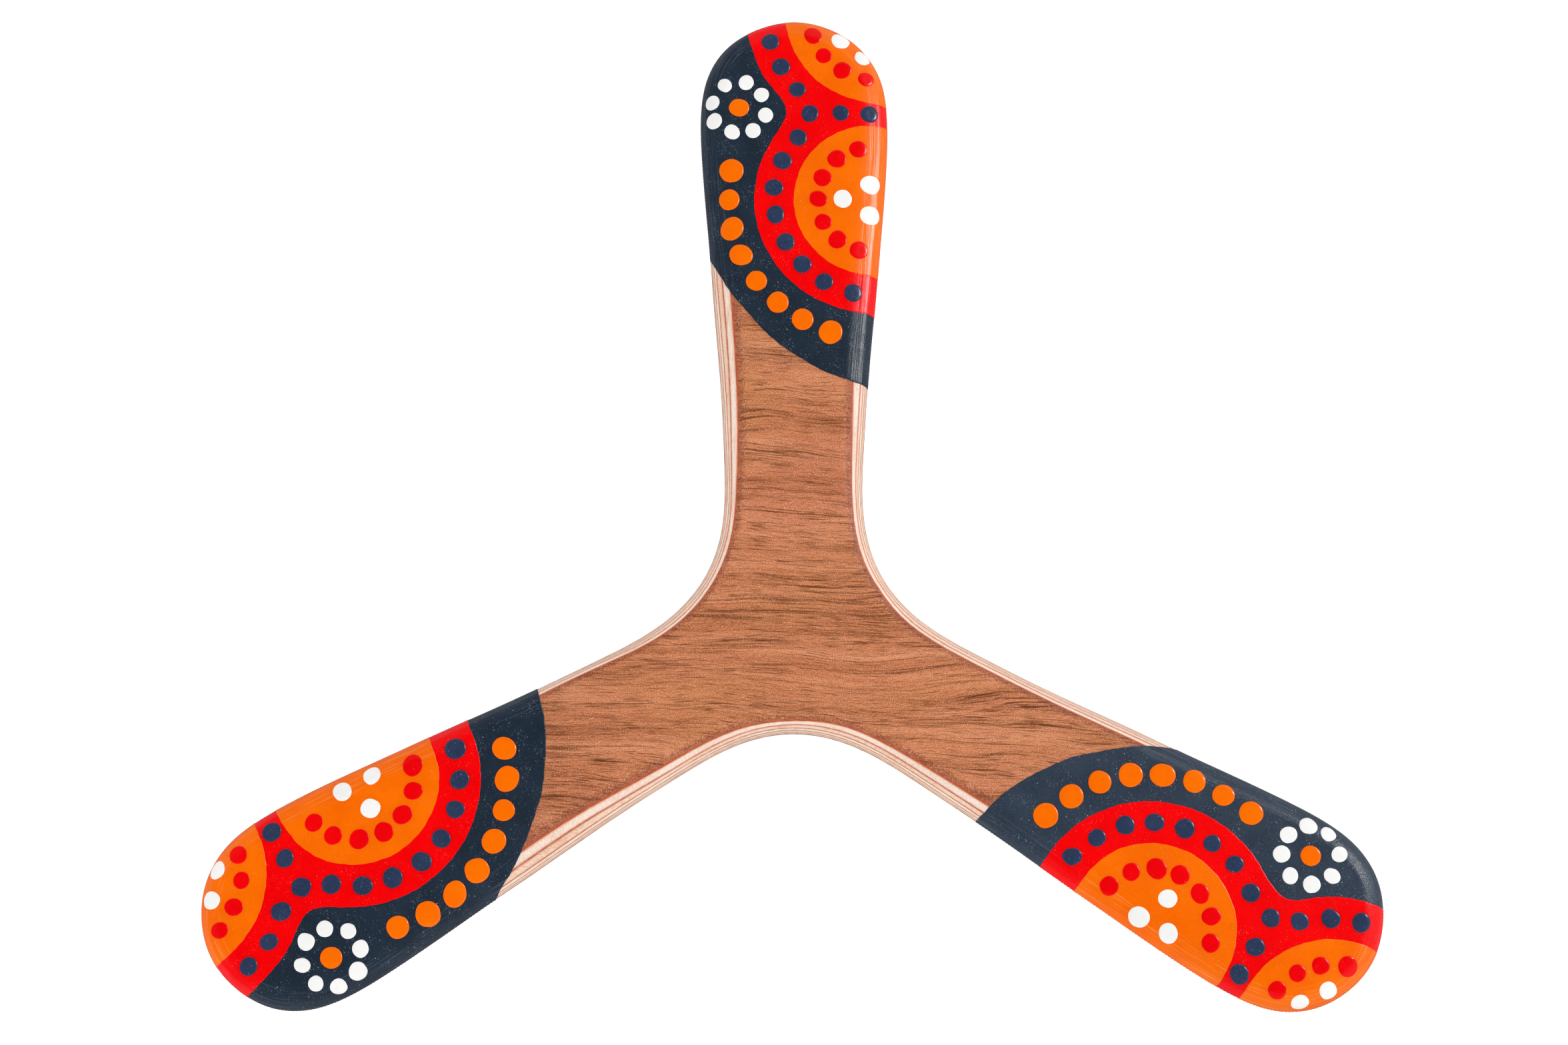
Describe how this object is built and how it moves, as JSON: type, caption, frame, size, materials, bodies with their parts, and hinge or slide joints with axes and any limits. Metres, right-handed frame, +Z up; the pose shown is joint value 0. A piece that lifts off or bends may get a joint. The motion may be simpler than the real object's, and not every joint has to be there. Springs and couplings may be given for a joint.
{
  "type": "boomerang",
  "caption": "Flat returning throwing toy with curved blades, cut from plywood with a rounded edge and painted blade ends with raised dots",
  "frame": {"origin": "hub centre on the flat underside", "axes": "+Z up out of the painted face, +Y along blade 1, +X to the right when blade 1 points up"},
  "size_m": [0.2831, 0.2519, 0.0053],
  "materials": {
    "face_veneer": "reddish-brown hardwood veneer, fine pores, satin oil",
    "back_veneer": "reddish-brown hardwood veneer, satin oil",
    "birch_ply_long": "pale birch ply, long grain",
    "birch_ply_cross": "pale birch ply, end grain",
    "glue_film": "dark red phenolic glue film",
    "dark_paint": "dark navy paint, semi-gloss",
    "red_paint": "red paint, semi-gloss",
    "orange_paint": "orange paint, semi-gloss",
    "white_dot_paint": "thick white paint, semi-gloss",
    "orange_dot_paint": "thick orange paint, semi-gloss",
    "red_dot_paint": "thick red paint, semi-gloss",
    "navy_dot_paint": "thick navy paint, semi-gloss"
  },
  "bodies": {
    "root": {"top_face_veneer": "face_veneer", "back_face_veneer": "back_veneer", "core_ply_1": "birch_ply_cross", "core_ply_2": "birch_ply_long", "core_ply_3": "birch_ply_cross", "core_ply_4": "birch_ply_long", "core_ply_5": "birch_ply_cross", "glue_film_1": "glue_film", "glue_film_2": "glue_film", "glue_film_3": "glue_film", "glue_film_4": "glue_film", "glue_film_5": "glue_film", "glue_film_6": "glue_film", "blade_1_dark_paint": "dark_paint", "blade_1_red_paint": "red_paint", "blade_1_orange_paint": "orange_paint", "blade_1_white_dots": "white_dot_paint", "blade_1_orange_dots": "orange_dot_paint", "blade_1_red_dots": "red_dot_paint", "blade_1_navy_dots": "navy_dot_paint", "blade_2_dark_paint": "dark_paint", "blade_2_red_paint": "red_paint", "blade_2_orange_paint": "orange_paint", "blade_2_white_dots": "white_dot_paint", "blade_2_orange_dots": "orange_dot_paint", "blade_2_red_dots": "red_dot_paint", "blade_2_navy_dots": "navy_dot_paint", "blade_3_dark_paint": "dark_paint", "blade_3_red_paint": "red_paint", "blade_3_orange_paint": "orange_paint", "blade_3_white_dots": "white_dot_paint", "blade_3_orange_dots": "orange_dot_paint", "blade_3_red_dots": "red_dot_paint", "blade_3_navy_dots": "navy_dot_paint"}
  },
  "joints": []
}
